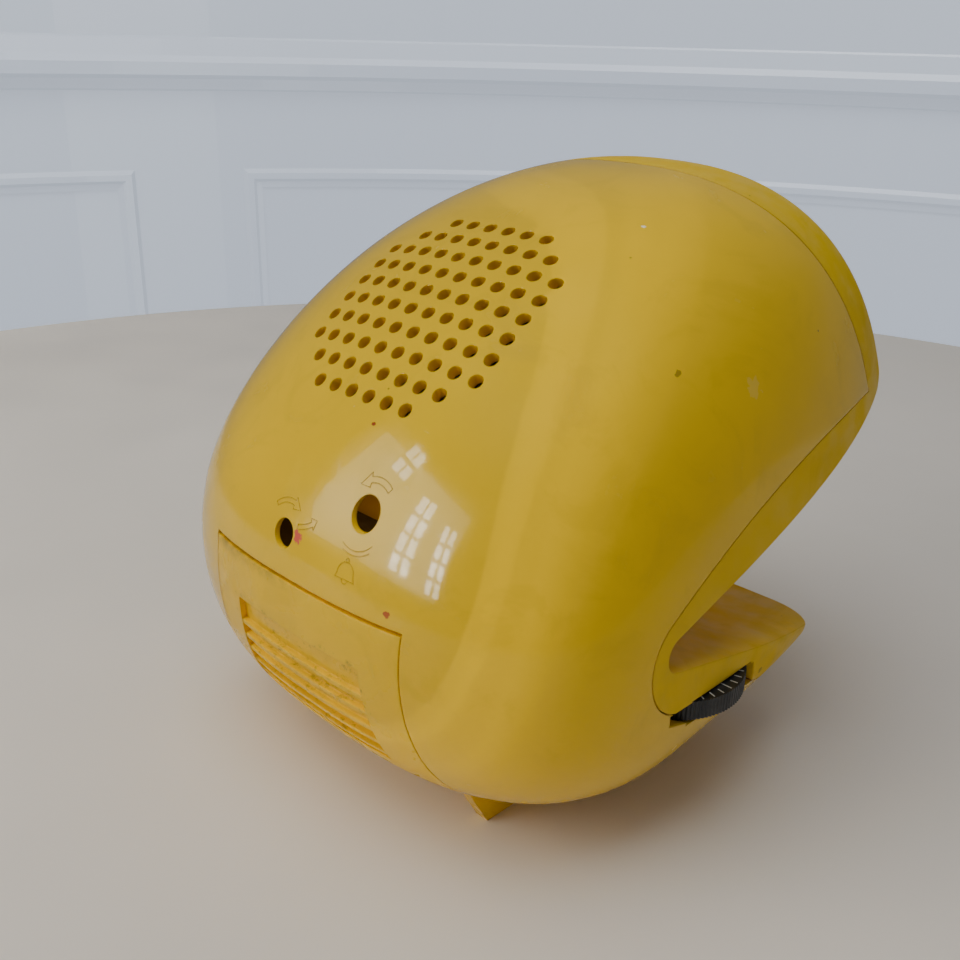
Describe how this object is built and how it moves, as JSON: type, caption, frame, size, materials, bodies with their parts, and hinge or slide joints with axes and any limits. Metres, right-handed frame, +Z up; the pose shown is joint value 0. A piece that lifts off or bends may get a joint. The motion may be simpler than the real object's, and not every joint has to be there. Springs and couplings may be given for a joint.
{
  "type": "clock radio",
  "caption": "Rounded, open-mouthed battery clock radio with a pierced speaker grille, recessed clock-setting knobs, side thumbwheels and a sliding battery door.",
  "frame": {"origin": "on the ground under the middle of the whole object", "axes": "+Z up; -Y the way the clock faces; +Y the rear with the grille, setting holes and battery door; +X to the left of the rear view's far side"},
  "size_m": [0.1266, 0.1304, 0.1229],
  "materials": {
    "yellow_case": "gloss, lightly worn",
    "yellow_front": "satin gloss, slightly paler than the rear",
    "box_plastic": "matte black",
    "cell": "printed sleeve with no lettering",
    "contact_metal": "plated",
    "speaker_steel": "black",
    "speaker_paper": "pressed paper",
    "magnet": "plated",
    "cloth": "black woven cloth",
    "board": "brown phenolic laminate",
    "screw_steel": "zinc plated",
    "ferrite": "dull grey-black ceramic",
    "copper": "enamelled copper wire",
    "holder_plastic": "natural nylon",
    "can_metal": "bright",
    "core": "coloured cores",
    "capacitor": "blue sleeve",
    "chip": "black",
    "resistor": "tan",
    "transistor": "black",
    "switch_metal": "plated",
    "knob_white": "off-white",
    "pot": "dark brown",
    "variable_cap": "translucent white",
    "wheel_plastic": "charcoal with off-white ticks",
    "shaft_brass": "turned",
    "trim_chrome": "bright",
    "lens_clear": "clear acrylic",
    "dial": "off-white printed",
    "movement": "grey",
    "hand_black": "black",
    "hand_red": "red",
    "spindle_steel": "drawn",
    "knob_grey": "grey, knurled"
  },
  "bodies": {
    "case": {"front_bezel": "yellow_front", "rear_shell": "yellow_case", "battery_box": "box_plastic", "battery_cell_1": "cell", "battery_cell_2": "cell", "battery_cell_3": "cell", "battery_cell_4": "cell", "contact_plates": "contact_metal", "contact_springs": "contact_metal", "speaker_frame": "speaker_steel", "speaker_cone": "speaker_paper", "speaker_magnet": "magnet", "speaker_cloth": "cloth", "circuit_board": "board", "board_screws": "screw_steel", "case_screws": "screw_steel", "ferrite_rod": "ferrite", "antenna_coil": "copper", "rod_holders": "holder_plastic", "if_transformers": "can_metal", "transformer_cores": "core", "electrolytics": "capacitor", "audio_chip": "chip", "resistors": "resistor", "transistors": "transistor", "mode_switch_body": "switch_metal", "volume_pot": "pot", "tuning_capacitor": "variable_cap", "clock_trim": "trim_chrome", "clock_lens": "lens_clear", "clock_dial": "dial", "clock_screws": "screw_steel", "clock_movement": "movement"},
    "door": {"battery_door": "yellow_case"},
    "volume": {"volume_wheel": "wheel_plastic", "volume_shaft": "shaft_brass", "volume_wheel_screw": "screw_steel"},
    "tuning": {"tuning_wheel": "wheel_plastic", "tuning_shaft": "shaft_brass", "tuning_wheel_screw": "screw_steel"},
    "mode": {"mode_switch_knob": "knob_white"},
    "time_key": {"time_set_spindle": "spindle_steel", "time_set_knob": "knob_grey"},
    "alarm_key": {"alarm_set_spindle": "spindle_steel", "alarm_set_knob": "knob_grey"},
    "alarm_pointer": {"alarm_hand": "hand_red"},
    "hours": {"hour_hand": "hand_black"},
    "minutes": {"minute_hand": "hand_black"},
    "seconds": {"second_hand": "hand_red"}
  },
  "joints": [
    {"name": "battery_door_slide", "type": "slide", "parent": "case", "child": "door", "axis": [0, 0.5739, -0.8189], "range_m": [0, 0.011]},
    {"name": "volume_turn", "type": "hinge", "parent": "case", "child": "volume", "pos_m": [-0.047, 0.0088, 0.031], "axis": [0, 0, 1], "range_deg": [0, 270]},
    {"name": "tuning_turn", "type": "hinge", "parent": "case", "child": "tuning", "pos_m": [0.047, 0.0088, 0.031], "axis": [0, 0, 1], "range_deg": [0, 180]},
    {"name": "mode_switch_slide", "type": "slide", "parent": "case", "child": "mode", "axis": [1, 0, 0], "range_m": [-0.0039, 0.0039]},
    {"name": "time_key_turn", "type": "hinge", "parent": "case", "child": "time_key", "pos_m": [-0.015, 0.00541, 0.09193], "axis": [0, 0.9063, -0.4226], "continuous": true},
    {"name": "alarm_key_turn", "type": "hinge", "parent": "case", "child": "alarm_key", "pos_m": [0.0044, 0.00258, 0.08586], "axis": [0, 0.9063, -0.4226], "continuous": true},
    {"name": "alarm_pointer_turn", "type": "hinge", "parent": "case", "child": "alarm_pointer", "pos_m": [0, -0.05271, 0.09884], "axis": [0, 0.9063, -0.4226], "continuous": true},
    {"name": "hours_turn", "type": "hinge", "parent": "case", "child": "hours", "pos_m": [0, -0.05326, 0.09909], "axis": [0, 0.9063, -0.4226], "continuous": true},
    {"name": "minutes_turn", "type": "hinge", "parent": "case", "child": "minutes", "pos_m": [0, -0.05389, 0.09939], "axis": [0, 0.9063, -0.4226], "continuous": true},
    {"name": "seconds_turn", "type": "hinge", "parent": "case", "child": "seconds", "pos_m": [0, -0.05443, 0.09964], "axis": [0, 0.9063, -0.4226], "continuous": true}
  ],
  "couplings": [
    {"joint": "minutes_turn", "follows": "time_key_turn", "ratio": 1},
    {"joint": "hours_turn", "follows": "time_key_turn", "ratio": 0.083333},
    {"joint": "alarm_pointer_turn", "follows": "alarm_key_turn", "ratio": 1}
  ]
}
